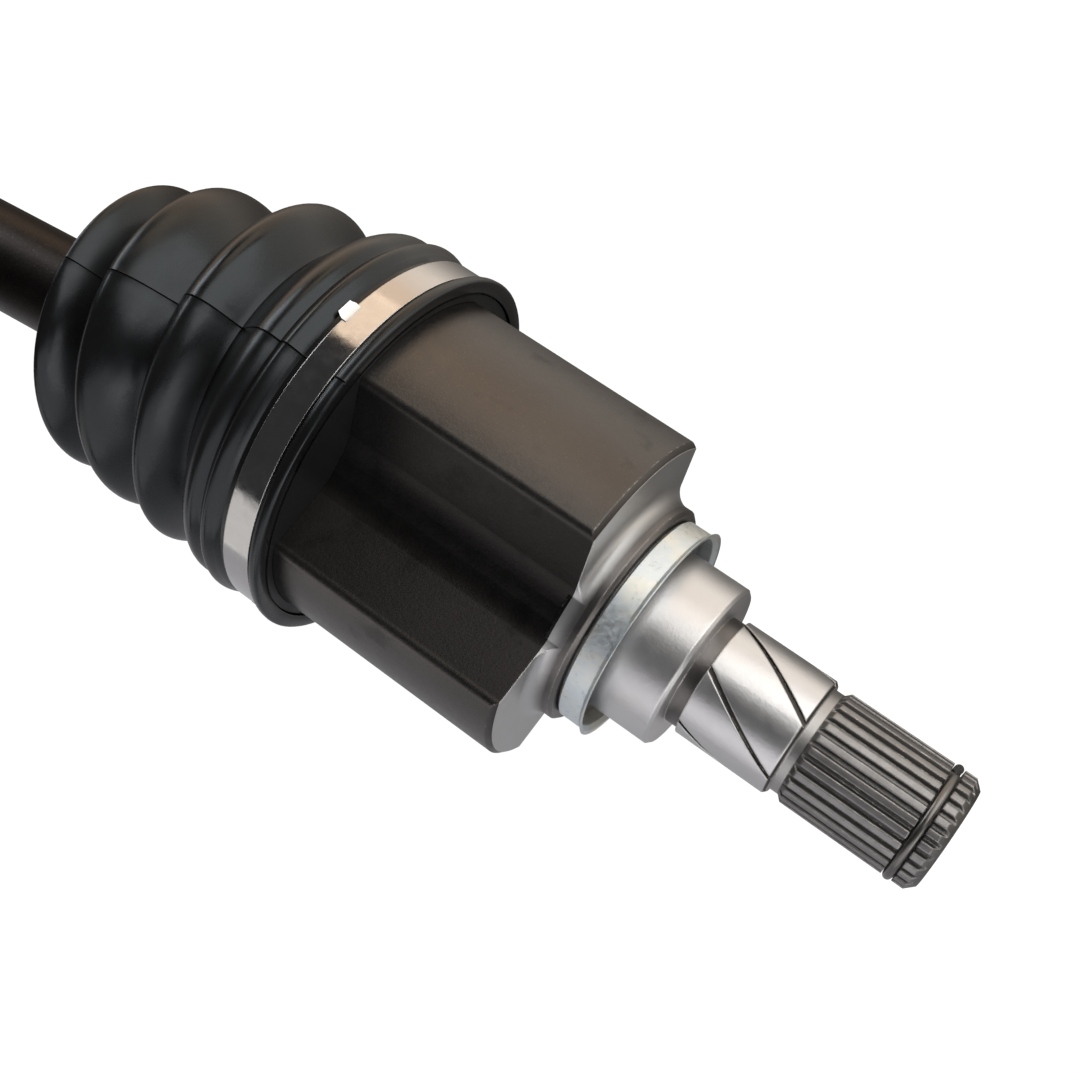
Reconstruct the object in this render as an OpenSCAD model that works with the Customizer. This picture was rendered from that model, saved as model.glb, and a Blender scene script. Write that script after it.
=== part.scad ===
// Front drive half-shaft. A plunging tripod joint sits at the inner end and a fixed ball joint
// at the outer end, and each is sealed by a convoluted boot with two clamps.
// X runs along the inner stub towards the gearbox, Z is up, and the origin is the middle of the
// pilot journal. The bar leaves the tripod joint at the small angle that it is stored at.

/* [Inner stub] */
// Length of the ground pilot journal
pilot_len = 22.8; // [20:0.2:26]
// Diameter of the pilot journal
pilot_d = 28.4; // [28:0.1:29]
// Width of a helical oil groove in the pilot journal
oil_groove_w = 1.3; // [0.8:0.1:1.6]
// Depth of a helical oil groove
oil_groove_depth = 0.7; // [0.4:0.1:1]
// Number of oil grooves
oil_groove_count = 6; // [4:1:8]
// Axial advance of an oil groove in one turn
oil_groove_lead = 148; // [120:1:180]
// Angle round X at which the first oil groove starts
oil_groove_start = 5.3; // [0:0.1:59]
// Width of the turned relief between pilot and spline
spline_relief = 2.2; // [1.6:0.2:3]
// Length of the inner spline
stub_spline_len = 33.2; // [30:0.2:38]
// Outside diameter of the inner spline
stub_spline_d = 27.4; // [27:0.1:27.8]
// Number of teeth on the inner spline
stub_spline_teeth = 28; // [24:1:32]
// Height of a spline tooth
tooth_height = 1.2; // [0.9:0.1:1.5]
// Distance from the stub's end to the middle of its snap ring
snap_ring_setback = 5.9; // [5:0.1:8]
// Wire diameter of the stub's snap ring
snap_ring_wire = 2.1; // [1.6:0.1:2.3]
// Angle of the gap between the snap ring's ends
snap_ring_gap = 34; // [20:1:40]
// Angle round X at which that gap stands
snap_ring_turn = 2; // [0:1:359]
// Width of the neck between pilot and seal journal
neck_len = 3.4; // [2.6:0.2:5]
// Diameter of that neck
neck_d = 26.6; // [25:0.2:27.4]
// Diameter of the ground seal journal
seal_d = 40; // [38:0.5:42]
// Length of the seal journal, chamfer included
seal_len = 16.7; // [14:0.1:20]

/* [Dust shield] */
// Diameter of the seat that the shield is pressed on
shield_seat_d = 48.8; // [47:0.2:50]
// Length of that seat
shield_seat_len = 3.2; // [2.8:0.1:4.5]
// Thickness of the shield's sheet
shield_wall = 1; // [0.8:0.1:1.4]
// Reach of the shield in front of its seat
shield_reach = 3.8; // [3:0.1:5]
// Outward flare of the shield's front rim
shield_flare = 0.9; // [0.5:0.1:1.2]
// Length of that flare along X
shield_flare_len = 0.9; // [0.6:0.1:1.6]

/* [Tripod housing] */
// Length of the housing from its end face to its mouth
housing_len = 71.5; // [68:0.5:76]
// Radius of the outer face of a lobe
lobe_r = 41; // [40.4:0.1:42]
// Half the outer width of a lobe
lobe_half_w = 20.3; // [19.6:0.1:20.8]
// Radius of the outer valley floor
valley_r = 26.4; // [25.4:0.1:27]
// Radius on the long edges of a lobe
lobe_edge_r = 2.2; // [1.6:0.1:4]
// Fillet between a lobe and the valley floor
valley_fillet = 12; // [9:0.5:13]
// Radius of the boss behind the shield
boss_r = 27.4; // [26.5:0.1:28]
// Length of that boss
boss_len = 5.8; // [5:0.1:6.5]
// Hollow fillet between the boss and the ends of the lobes
boss_fillet = 3.5; // [2.5:0.1:4]
// Thickness of the housing's end wall
end_wall = 6.5; // [6:0.1:8]
// Wall outside the end of a roller track
track_end_wall = 4.4; // [4:0.1:5]
// Radius of the middle of the housing's cavity
cavity_r = 21.6; // [21.2:0.1:22]
// Widening of the cavity at its mouth, which makes room for the bent bar
mouth_flare = 1.5; // [1.2:0.1:2]
// Length of that widening
mouth_flare_len = 7; // [6:0.5:9]

/* [Tripod] */
// Distance from the housing's mouth to the tripod's centre
tripod_depth = 30; // [28:0.5:32]
// Angle of the bar to the housing as stored
rest_bend = 6; // [0:0.5:10]
// Distance from the tripod's centre to the middle of a roller
roller_pitch_r = 24; // [23.8:0.1:24.6]
// Outside radius of a crowned roller
roller_r = 15.3; // [14.8:0.1:15.4]
// Width of a roller
roller_w = 12; // [11:0.2:12]
// Play between a roller and each wall of its track
track_play = 0.7; // [0.6:0.05:0.8]
// Diameter of a trunnion
trunnion_d = 18; // [17:0.2:18.4]
// Diameter of a needle
needle_d = 2.4; // [2.2:0.1:2.6]
// Number of needles round a trunnion
needle_count = 22; // [16:1:24]
// Running play at the inside and outside of the needles
needle_play = 0.05; // [0.03:0.01:0.1]
// Thickness of a needle washer
washer_t = 1; // [0.8:0.1:1.2]
// Wire diameter of a trunnion clip
trunnion_clip_wire = 1.2; // [1:0.1:1.4]
// Radius of the spider's hub
spider_hub_r = 17.4; // [17:0.1:17.5]
// Width of the spider's hub
spider_w = 26; // [24:0.5:27]

/* [Axle bar] */
// Distance between the centres of the two joints
joint_span = 420; // [360:5:520]
// Diameter of the bar
bar_d = 25.4; // [24.6:0.2:26]
// Diameter of the splines at the ends of the bar
bar_spline_d = 24; // [23.4:0.2:24.4]
// Number of teeth on those splines
bar_spline_teeth = 26; // [22:1:30]
// Play between a bar spline and the bore it fits
bar_spline_play = 0.05; // [0.03:0.01:0.1]
// Diameter of the waist next to the ball joint
waist_d = 22.4; // [22:0.2:23]
// Wire diameter of the rings that hold spider and race
bar_ring_wire = 2; // [1.6:0.1:2.2]

/* [Ball joint] */
// Distance from the joint's centre to a ball's centre
ball_pitch_r = 29; // [28.8:0.1:29.2]
// Diameter of a ball
ball_d = 17; // [16.6:0.1:17.2]
// Number of balls
ball_count = 6; // [6:1:6]
// Play between a ball and the wall of its track
ball_play = 1; // [0.95:0.05:1.1]
// Radius of the inner race
race_r = 25.9; // [25.6:0.1:26]
// Width of the inner race
race_w = 25; // [24:0.5:26]
// Play between race and cage, and between cage and bell
sphere_play = 0.3; // [0.25:0.05:0.35]
// Wall thickness of the cage
cage_wall = 4.6; // [4.4:0.1:4.8]
// Width of the cage
cage_w = 30; // [28:0.5:31]
// Half the length of a cage window, round the cage
window_half_len = 9.6; // [9.2:0.1:10]
// Outside diameter of the bell
bell_d = 87; // [86:0.5:90]
// Distance from the joint's centre to the bell's mouth
bell_mouth = 18; // [17:0.5:19]
// Distance from the joint's centre to the hub face
hub_face_setback = 40; // [39:0.5:44]
// Diameter of the hub face
hub_face_d = 54; // [50:0.5:58]
// Diameter of the outer stub's ground journal
hub_journal_d = 29; // [28.4:0.2:30]
// Length of that journal
hub_journal_len = 9; // [7:0.5:12]
// Diameter of the outer stub's spline
hub_spline_d = 27.8; // [27:0.2:28.2]
// Number of teeth on the outer stub's spline
hub_spline_teeth = 27; // [24:1:32]
// Length of the outer stub's spline
hub_spline_len = 38; // [32:0.5:44]
// Pitch diameter of the hub nut's thread
thread_d = 23.2; // [22.8:0.1:23.8]
// Length of that thread
thread_len = 21; // [18:0.5:26]

/* [Boots] */
// Outside radius of the boot flange at the housing's mouth
boot_flange_r = 46.8; // [46:0.1:47.5]
// Length of the cuff that the large inner clamp holds
inner_cuff_len = 12; // [11:0.5:14]
// Outside radius of the clamp groove in that cuff
inner_groove_r = 44.8; // [44.4:0.1:45.2]
// Wall thickness of a boot
boot_wall = 2.4; // [2:0.1:3]
// Thickness of a clamp band
clamp_t = 0.8; // [0.6:0.1:1]
// Width of a large clamp band
large_clamp_w = 7; // [6:0.2:8]
// Width of a small clamp band
small_clamp_w = 7; // [6:0.2:8]
// Gap between a boot and the parts of another body that it covers
boot_gap = 0.3; // [0.25:0.05:0.4]
// Distance from a small cuff's end to its clamp
clamp_setback = 1.2; // [1:0.1:2]
// Outside radius of the small cuffs
small_cuff_r = 16.2; // [15.8:0.1:17]
// Distance from the tripod's centre to the outer end of the inner boot
inner_boot_reach = 110.5; // [108:0.5:118]
// Distance from the ball joint's centre to the inner end of the outer boot
outer_boot_reach = 92; // [88:0.5:98]

/* [Hidden] */
$fn = 64;

eps = 0.01;
// The shapes that are cut or added reach this far past the face they cross
over = 1;
// Rounding circles cross the faces they blend by this much, so that no two faces only touch
cross = 0.02;

// Places along the inner stub, from the origin
pilot_front_x = pilot_len / 2;
spline_start_x = pilot_front_x + spline_relief;
stub_end_x = spline_start_x + stub_spline_len;
pilot_rear_x = -pilot_len / 2;
seal_face_x = pilot_rear_x - neck_len;
seat_front_x = seal_face_x - seal_len;
boss_front_x = seat_front_x - shield_seat_len;
end_face_x = boss_front_x - boss_len;
mouth_x = end_face_x - housing_len;
cavity_end_x = end_face_x - end_wall;
tripod_x = mouth_x + tripod_depth;
snap_ring_x = stub_end_x - snap_ring_setback;
snap_groove_r = pilot_d / 2 - snap_ring_wire - 0.1;
shield_r = shield_seat_d / 2 + shield_wall;

// The lobes point at these angles round X, and the third one points down
lobe_angles = [30, 150, 270];
track_half_w = roller_r + track_play;
track_end_r = lobe_r - track_end_wall;

// Tripod, measured along a trunnion
roller_in_r = roller_pitch_r - roller_w / 2;
roller_out_r = roller_pitch_r + roller_w / 2;
needle_pitch_r = trunnion_d / 2 + needle_play + needle_d / 2;
roller_bore_r = needle_pitch_r + needle_d / 2 + needle_play;
washer_in_r = roller_out_r + 0.3;
clip_r = washer_in_r + washer_t + trunnion_clip_wire / 2;
trunnion_end_r = clip_r + trunnion_clip_wire / 2 + 0.8;

// The bar, measured from the tripod's centre towards the hub
spider_ring_s = -spider_w / 2 - bar_ring_wire / 2;
bar_start_s = spider_ring_s - bar_ring_wire / 2 - 1.4;
race_ring_s = joint_span + race_w / 2 + bar_ring_wire / 2;
bar_end_s = race_ring_s + bar_ring_wire / 2 + 1.2;
bar_r = bar_d / 2;
small_cuff_len = small_clamp_w + 3.2;
adapter_r = inner_groove_r - boot_wall + 0.6;
inner_neck_s = inner_boot_reach - small_cuff_len + 1.2;
outer_neck_s = joint_span - outer_boot_reach + small_cuff_len - 1.2;

// The ball joint, measured from its own centre towards the bar
cage_in_r = race_r + sphere_play;
cage_out_r = cage_in_r + cage_wall;
bell_in_r = cage_out_r + sphere_play;
ball_track_r = ball_d / 2 + ball_play;
bell_r = bell_d / 2;
bell_groove_r = bell_r - 1.2;
hub_journal_end = -hub_face_setback - hub_journal_len;
hub_spline_end = hub_journal_end - hub_spline_len;
thread_relief = 3;
bell_end = hub_spline_end - thread_relief - thread_len;
bell_cuff_len = large_clamp_w + 3;
bell_groove_x1 = bell_mouth - 1.6;
bell_groove_x0 = bell_groove_x1 - large_clamp_w - 1;
outer_seat_r = bell_r + boot_gap;
outer_cuff_r = outer_seat_r + 1.6;

// A boot's folds fill its length between the large end and the small cuff
inner_cuff_x = tripod_x - (inner_boot_reach - small_cuff_len) * cos(rest_bend);
inner_folds_len = mouth_x - inner_cuff_x;
outer_folds_len = outer_boot_reach - small_cuff_len - bell_mouth;
cuff_shoulder_r = small_cuff_r + 0.4;
// Crests and valleys of the inner boot: share of that length from the mouth, and outside radius
inner_folds = [[0.017, 45.2], [0.06, 46], [0.095, 43.4], [0.138, 45.2], [0.281, 35.6], [0.429, 41.9],
    [0.565, 31], [0.705, 38.1], [0.826, 27.4], [0.932, 34.1], [1, cuff_shoulder_r]];
// Crests and valleys of the outer boot, from the bell's mouth towards the bar
outer_folds = [[0.016, 45], [0.094, 45.6], [0.204, 36.5], [0.314, 42.6], [0.417, 33.5], [0.519, 39],
    [0.613, 29.5], [0.708, 34.4], [0.794, 24], [0.881, 28], [1, cuff_shoulder_r]];

// Turns a shape made along Z so that its Z lies along X
module along_x() {
    rotate([0, 90, 0]) children();
}

// An outline of points [place along X, radius], for turning about X
module half_section(points) {
    polygon([for (p = points) [p[1], p[0]]]);
}

// Turns a half section about X
module turned_section() {
    along_x() rotate_extrude($fn = 96) children();
}

module turned(points) {
    turned_section() half_section(points);
}

// The half section of a ball about the origin, cut flat at x0 and x1
module ball_section(r, x0, x1) {
    intersection() {
        circle(r, $fn = 96);
        translate([0, x0]) square([r + over, x1 - x0]);
    }
}

// Places a shape in the bar's own frame, with -X running from the tripod to the ball joint
module on_bar() {
    translate([tripod_x, 0, 0]) rotate([0, 0, rest_bend]) children();
}

module on_ball_joint() {
    on_bar() translate([-joint_span, 0, 0]) children();
}

// Outline of a straight-sided spline: teeth with a flat land and a narrow root
module spline_outline(r, teeth, height, grow = 0) {
    pitch = 360 / teeth;
    land = 0.23 * pitch;
    foot = 0.38 * pitch;
    tip_r = r + 0.2 + grow;
    root_r = r - height + grow;
    polygon([for (i = [0:teeth - 1], q = [[root_r, -foot], [tip_r, -land], [tip_r, land], [root_r, foot]])
        q[0] * [cos(i * pitch + q[1]), sin(i * pitch + q[1])]]);
}

// The teeth of a spline from x0 to x1 about X, chamfered down into the core that they stand on
module spline(x0, x1, r, teeth, height) {
    sink = 0.4;
    low_r = r - height - sink;
    intersection() {
        translate([x0 - over, 0, 0]) along_x() rotate(90) linear_extrude(x1 - x0 + 2 * over)
            spline_outline(r, teeth, height);
        turned([[x0 - sink, 0], [x0 - sink, low_r], [x0 + height, r], [x1 - height, r],
            [x1 + sink, low_r], [x1 + sink, 0]]);
    }
}

// Everything behind a chamfered end that faces +X, for cutting a stub off at x
module behind_end(x, end_r) {
    reach = 120;
    turned([[x - reach, 0], [x - reach, end_r + reach], [x, end_r], [x, 0]]);
}

// One lobe along +X: straight walls, an arc about the centre and rounded long edges
module lobe_2d(r, half_w, edge_r) {
    reach = sqrt(pow(r - edge_r, 2) - pow(half_w - edge_r, 2));
    slant = atan2(half_w - edge_r, reach);
    translate([0, -half_w]) square([reach, 2 * half_w]);
    for (side = [-1, 1]) translate([reach, side * (half_w - edge_r)]) circle(edge_r + cross, $fn = 32);
    intersection() {
        circle(r, $fn = 96);
        polygon([[0, 0], 2 * r * [cos(slant), -sin(slant)], 2 * r * [cos(slant), sin(slant)]]);
    }
}

// The fillet between one wall of a lobe along +X and the round core
module valley_fillet_2d(core_r, half_w, fillet_r) {
    along = sqrt(pow(core_r + fillet_r, 2) - pow(half_w + fillet_r, 2));
    centre = [along, half_w + fillet_r];
    difference() {
        polygon([[0, 0], [along, half_w - 0.5], [along, half_w + fillet_r],
            centre * core_r / norm(centre)]);
        translate(centre) circle(fillet_r + cross, $fn = 48);
    }
}

// Outline of the housing in the YZ plane, grown by a gap all round
module housing_outline(gap = 0) {
    circle(valley_r + gap, $fn = 96);
    for (a = lobe_angles) rotate(a) {
        lobe_2d(lobe_r + gap, lobe_half_w + gap, lobe_edge_r);
        for (side = [0, 1]) mirror([0, side])
            valley_fillet_2d(valley_r + gap, lobe_half_w + gap, valley_fillet - gap);
    }
}

module cavity_outline() {
    circle(cavity_r, $fn = 96);
    for (a = lobe_angles) rotate(a) lobe_2d(track_end_r, track_half_w, 2);
}

// Extrudes an outline of the YZ plane from x0 to x1
module extruded(x0, x1) {
    translate([x0, 0, 0]) rotate([90, 0, 90]) linear_extrude(x1 - x0) children();
}

// A ring of round wire about X
module wire_ring(x, inside_r, wire, gap_deg = 30) {
    translate([x, 0, 0]) along_x() rotate(gap_deg / 2)
        rotate_extrude(angle = 360 - gap_deg, $fn = 96)
            translate([inside_r + wire / 2, 0]) circle(wire / 2, $fn = 24);
}

// A helical bar that cuts one oil groove into the pilot journal, starting at an angle round X
module oil_groove(start) {
    steps = 14;
    len = pilot_len + 2 * over;
    in_r = pilot_d / 2 - oil_groove_depth;
    out_r = pilot_d / 2 + over;
    half_deg = oil_groove_w / pilot_d * 180 / PI;
    corners = [[in_r, -half_deg], [out_r, -half_deg], [out_r, half_deg], [in_r, half_deg]];
    points = [for (i = [0:steps], c = corners)
        let (x = len * i / steps, a = start + c[1] + 360 * x / oil_groove_lead)
        [pilot_rear_x - over + x, c[0] * cos(a), c[0] * sin(a)]];
    sides = [for (i = [0:steps - 1], k = [0:3])
        let (a = 4 * i, b = a + 4, j = (k + 1) % 4)
        each [[a + k, a + j, b + j], [a + k, b + j, b + k]]];
    last = 4 * steps;
    ends = [[3, 2, 1], [3, 1, 0], [last, last + 1, last + 2], [last, last + 2, last + 3]];
    polyhedron(points, concat(sides, ends), convexity = 4);
}

module inner_stub() {
    pilot_r = pilot_d / 2;
    seal_r = seal_d / 2;
    core_r = stub_spline_d / 2 - tooth_height + 0.05;
    chamfer = 0.8;
    difference() {
        turned([[end_face_x - over, 0], [end_face_x - over, boss_r], [boss_front_x - chamfer, boss_r],
            [boss_front_x, boss_r - chamfer], [boss_front_x, shield_seat_d / 2],
            [seat_front_x - chamfer, shield_seat_d / 2], [seat_front_x, shield_seat_d / 2 - chamfer],
            [seat_front_x, seal_r], [seal_face_x - chamfer, seal_r], [seal_face_x, seal_r - chamfer],
            [seal_face_x, neck_d / 2], [pilot_rear_x, neck_d / 2], [pilot_rear_x, pilot_r],
            [pilot_front_x - chamfer, pilot_r], [pilot_front_x, pilot_r - chamfer],
            [pilot_front_x, core_r], [stub_end_x + over, core_r], [stub_end_x + over, 0]]);
        for (i = [0:oil_groove_count - 1]) oil_groove(oil_groove_start + i * 360 / oil_groove_count);
    }
    spline(spline_start_x, stub_end_x + 2 * tooth_height, stub_spline_d / 2, stub_spline_teeth,
        tooth_height);
}

module snap_groove(x, floor_r, wire) {
    difference() {
        turned([[x - wire / 2 - 0.25, 0], [x - wire / 2 - 0.25, 40], [x + wire / 2 + 0.25, 40],
            [x + wire / 2 + 0.25, 0]]);
        turned([[x - wire, 0], [x - wire, floor_r], [x + wire, floor_r], [x + wire, 0]]);
    }
}

// A lathe centre hole, drilled into an end that faces +X
module centre_hole(x) {
    turned([[x - 6, 0], [x - 5, 1.6], [x - 3, 1.6], [x + eps, 4.6], [x + eps, 0]]);
}

module inner_housing() {
    edge = 1.2;
    end_chamfer = 1.9;
    hollow_r = boss_r + boss_fillet;
    hollow_x = end_face_x + boss_fillet;
    color([0.13, 0.12, 0.12]) difference() {
        union() {
            intersection() {
                extruded(mouth_x, hollow_x + over) housing_outline();
                turned_section() difference() {
                    half_section([[mouth_x - over, 0], [mouth_x - over, lobe_r + over],
                        [end_face_x - edge - over, lobe_r + over], [end_face_x, lobe_r - edge],
                        [end_face_x, hollow_r], [hollow_x, hollow_r], [hollow_x, 0]]);
                    translate([hollow_r, hollow_x]) circle(boss_fillet + cross, $fn = 48);
                }
            }
            intersection() {
                inner_stub();
                behind_end(stub_end_x, stub_spline_d / 2 - end_chamfer);
            }
        }
        extruded(mouth_x - over, cavity_end_x) cavity_outline();
        turned([[cavity_end_x - eps, 0], [cavity_end_x - eps, cavity_r - 2],
            [cavity_end_x + 2, cavity_r - 6], [cavity_end_x + 2, 0]]);
        turned([[mouth_x - over, 0], [mouth_x - over, cavity_r + mouth_flare],
            [mouth_x, cavity_r + mouth_flare], [mouth_x + mouth_flare_len, cavity_r - 0.2],
            [mouth_x + mouth_flare_len, 0]]);
        snap_groove(snap_ring_x, snap_groove_r, snap_ring_wire);
        centre_hole(stub_end_x);
    }
}

module dust_shield() {
    rear_x = boss_front_x + 0.4;
    seat_r = shield_seat_d / 2 + 0.02;
    rim_x = seat_front_x + shield_reach;
    flare_x = rim_x - shield_flare_len;
    rim_r = shield_r + shield_flare;
    color([0.75, 0.77, 0.79]) turned([[rear_x, seat_r], [rear_x, shield_r - 0.4],
        [rear_x + 0.4, shield_r], [flare_x, shield_r], [rim_x, rim_r], [rim_x, rim_r - shield_wall],
        [flare_x, seat_r]]);
}

module stub_snap_ring() {
    color([0.3, 0.29, 0.28]) rotate([snap_ring_turn + 90, 0, 0])
        wire_ring(snap_ring_x, snap_groove_r + 0.05, snap_ring_wire, snap_ring_gap);
}

// Fills the valleys of the housing out to a round seat for the boot
module boot_adapter() {
    color([0.07, 0.07, 0.07]) extruded(mouth_x + 0.2, mouth_x + inner_cuff_len - 0.6) difference() {
        circle(adapter_r, $fn = 96);
        housing_outline(0.1);
    }
}

// Radius between two folds of a boot, rounder on the crests than in the valleys
function fold_r(a, b, t) =
    let (up = b[1] > a[1], u = up ? 1 - t : t, lo = min(a[1], b[1]), hi = max(a[1], b[1]))
    lo + (hi - lo) * pow(0.5 + 0.5 * cos(180 * u), 0.8);

// Points [place, radius] through a list of folds, with steps between each two
function fold_points(folds, steps) = concat(
    [for (i = [0:len(folds) - 2], k = [0:steps - 1])
        let (t = k / steps)
        [folds[i][0] + t * (folds[i + 1][0] - folds[i][0]), fold_r(folds[i], folds[i + 1], t)]],
    [folds[len(folds) - 1]]);

// The line of the inner boot leaves the housing's axis and ends on the bar's
function smooth(t) = t * t * (3 - 2 * t);
function bend_share(x) = smooth(min(1, max(0, (mouth_x - x) / inner_folds_len)));

// A ring of points round the bent line, at place x and radius r
function bent_ring(x, r, sides) =
    let (turn = rest_bend * bend_share(x), shift = tan(rest_bend) * bend_share(x) * (x - tripod_x))
    [for (k = [0:sides - 1]) let (a = 360 * k / sides)
        [x - r * cos(a) * sin(turn), shift + r * cos(a) * cos(turn), r * sin(a)]];

// A closed skin through rings of equal count, joined end to end like a tube
module ring_skin(rings) {
    n = len(rings);
    m = len(rings[0]);
    polyhedron([for (r = rings, p = r) p],
        [for (i = [0:n - 1], k = [0:m - 1])
            let (a = i * m, b = ((i + 1) % n) * m, j = (k + 1) % m)
            each [[a + k, a + j, b + j], [a + k, b + j, b + k]]], convexity = 10);
}

module inner_boot() {
    flange_x = mouth_x + inner_cuff_len;
    groove_x = mouth_x + 1;
    small_end_x = tripod_x - inner_boot_reach * cos(rest_bend);
    sides = 32;
    to_flats = 1 / cos(180 / sides);
    seat_r = (adapter_r + 0.1) * to_flats;
    bore_r = (bar_r + boot_gap) * to_flats;
    folds = [for (p = fold_points(inner_folds, 4)) [mouth_x - p[0] * inner_folds_len, p[1]]];
    outer = concat(
        [[flange_x, boot_flange_r - 0.6], [flange_x - 0.3, boot_flange_r - 0.2],
        [flange_x - 0.8, boot_flange_r], [flange_x - 2.6, boot_flange_r - 0.4],
        [flange_x - 3.2, inner_groove_r], [groove_x, inner_groove_r]],
        folds, [[inner_cuff_x - 0.4, small_cuff_r], [small_end_x, small_cuff_r]]);
    inner = concat(
        [[small_end_x, bore_r], [inner_cuff_x + boot_wall, bore_r]],
        [for (i = [len(folds) - 4:-1:6]) [folds[i][0], folds[i][1] - boot_wall]],
        [[mouth_x - 0.4, seat_r - 1.6], [mouth_x - 0.1, seat_r], [flange_x, seat_r]]);
    color([0.05, 0.05, 0.055]) ring_skin([for (p = concat(outer, inner)) bent_ring(p[0], p[1], sides)]);
}

// A band clamp round X whose outer end overlaps its start, from x0, with a lifted hook
module band_clamp(x0, w, inside_r, lap_start) {
    lap_deg = 70;
    hook_w = 3;
    hook_deg = 4;
    turned([[x0, inside_r], [x0, inside_r + clamp_t], [x0 + w, inside_r + clamp_t], [x0 + w, inside_r]]);
    bite = 0.1;
    lap_r = inside_r + clamp_t - bite;
    rotate([lap_start, 0, 0]) translate([x0, 0, 0]) along_x()
        rotate_extrude(angle = lap_deg, $fn = 96) translate([lap_r, 0.3])
            square([clamp_t + bite, w - 0.6]);
    for (a = [18, 30]) rotate([lap_start + a, 0, 0]) translate([x0 + (w - hook_w) / 2, 0, 0]) along_x()
        rotate_extrude(angle = hook_deg, $fn = 96) translate([lap_r + clamp_t, 0])
            square([clamp_t + bite, hook_w]);
}

module inner_large_clamp() {
    color([0.78, 0.77, 0.75])
        band_clamp(mouth_x + 1.4, large_clamp_w, inner_groove_r + 0.05, 255);
}

module inner_small_clamp() {
    color([0.78, 0.77, 0.75]) on_bar()
        band_clamp(clamp_setback - inner_boot_reach, small_clamp_w, small_cuff_r + boot_gap, 200);
}

module axle_bar() {
    spline_r = bar_spline_d / 2;
    waist_r = waist_d / 2;
    spider_end = -spider_w / 2 - 0.2;
    race_end = joint_span - race_w / 2;
    root_r = spline_r - tooth_height + 0.05;
    neck_pad = bar_r - 0.4;
    color([0.1, 0.1, 0.1]) on_bar() difference() {
        union() {
            turned([[-bar_end_s, 0], [-bar_end_s, root_r - 1], [-bar_end_s + 1, root_r],
                [-race_end, root_r], [-race_end + 1.3, waist_r], [12 - race_end, waist_r],
                [24 - race_end, bar_r], [-outer_neck_s - 12, bar_r], [-outer_neck_s - 9, neck_pad],
                [-outer_neck_s + 2, neck_pad], [-outer_neck_s + 4, bar_r], [-inner_neck_s - 2, bar_r],
                [-inner_neck_s, neck_pad], [-inner_neck_s + 9, neck_pad], [-inner_neck_s + 12, bar_r],
                [spider_end - 10, bar_r], [spider_end, spline_r + 0.3], [spider_end, root_r],
                [-bar_start_s - 1, root_r], [-bar_start_s, root_r - 1], [-bar_start_s, 0]]);
            spline(spider_end - 1.4, -bar_start_s - 1.5, spline_r, bar_spline_teeth, tooth_height);
            spline(-bar_end_s + 1.5, -race_end - 0.5, spline_r, bar_spline_teeth, tooth_height);
        }
        snap_groove(-spider_ring_s, spline_r - bar_ring_wire / 2, bar_ring_wire);
        snap_groove(-race_ring_s, spline_r - bar_ring_wire / 2, bar_ring_wire);
    }
}

// The bore that takes a spline of the bar, as a cutter from x0 to x1
module bar_spline_bore(x0, x1) {
    r = bar_spline_d / 2;
    intersection() {
        translate([x0 - over, 0, 0]) along_x() rotate(90) linear_extrude(x1 - x0 + 2 * over)
            spline_outline(r, bar_spline_teeth, tooth_height, bar_spline_play);
        turned([[x0 - over, 0], [x0 - over, r + bar_spline_play],
            [x1 + over, r + bar_spline_play], [x1 + over, 0]]);
    }
}

// Places a shape made along Z on a trunnion, with Z pointing outwards
module on_trunnion(angle) {
    on_bar() rotate([angle - 90, 0, 0]) children();
}

module spider() {
    base_r = roller_in_r - 0.4;
    color([0.55, 0.55, 0.56]) difference() {
        union() {
            on_bar() turned([[-spider_w / 2, 0], [-spider_w / 2, spider_hub_r - 1.2],
                [1.2 - spider_w / 2, spider_hub_r], [spider_w / 2 - 1.2, spider_hub_r],
                [spider_w / 2, spider_hub_r - 1.2], [spider_w / 2, 0]]);
            for (a = lobe_angles) on_trunnion(a) rotate_extrude($fn = 96) polygon([[0, 0],
                [trunnion_d / 2 + 1.6, 0], [trunnion_d / 2 + 1.6, base_r], [trunnion_d / 2, base_r],
                [trunnion_d / 2, trunnion_end_r - 0.8], [trunnion_d / 2 - 0.8, trunnion_end_r],
                [0, trunnion_end_r]]);
        }
        on_bar() bar_spline_bore(-spider_w / 2, spider_w / 2);
        for (a = lobe_angles) on_trunnion(a) rotate_extrude($fn = 96)
            translate([trunnion_d / 2 + 0.2, clip_r]) circle(trunnion_clip_wire / 2 + 0.03, $fn = 24);
    }
}

module spider_ring() {
    color([0.3, 0.3, 0.3]) on_bar()
        wire_ring(-spider_ring_s, bar_spline_d / 2 - bar_ring_wire / 2 + 0.03, bar_ring_wire, 40);
}

module needle_washers() {
    color([0.65, 0.65, 0.66]) for (a = lobe_angles) on_trunnion(a) difference() {
        translate([0, 0, washer_in_r]) cylinder(washer_t - 0.04, r = roller_bore_r + 1.2, $fn = 64);
        translate([0, 0, washer_in_r - over])
            cylinder(washer_t + 2 * over, r = trunnion_d / 2 + 0.05, $fn = 64);
    }
}

module trunnion_clips() {
    color([0.3, 0.3, 0.3]) for (a = lobe_angles) on_trunnion(a) rotate_extrude(angle = 320, $fn = 96)
        translate([trunnion_d / 2 + 0.2, clip_r]) circle(trunnion_clip_wire / 2, $fn = 24);
}

module needle_set(angle) {
    color([0.7, 0.7, 0.72]) on_trunnion(angle) for (i = [0:needle_count - 1])
        rotate(i * 360 / needle_count) translate([needle_pitch_r, 0, roller_in_r + 0.3])
            cylinder(roller_w - 0.6, r = needle_d / 2, $fn = 24);
}

module needles_a() {
    needle_set(lobe_angles[0]);
}

module needles_b() {
    needle_set(lobe_angles[1]);
}

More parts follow.
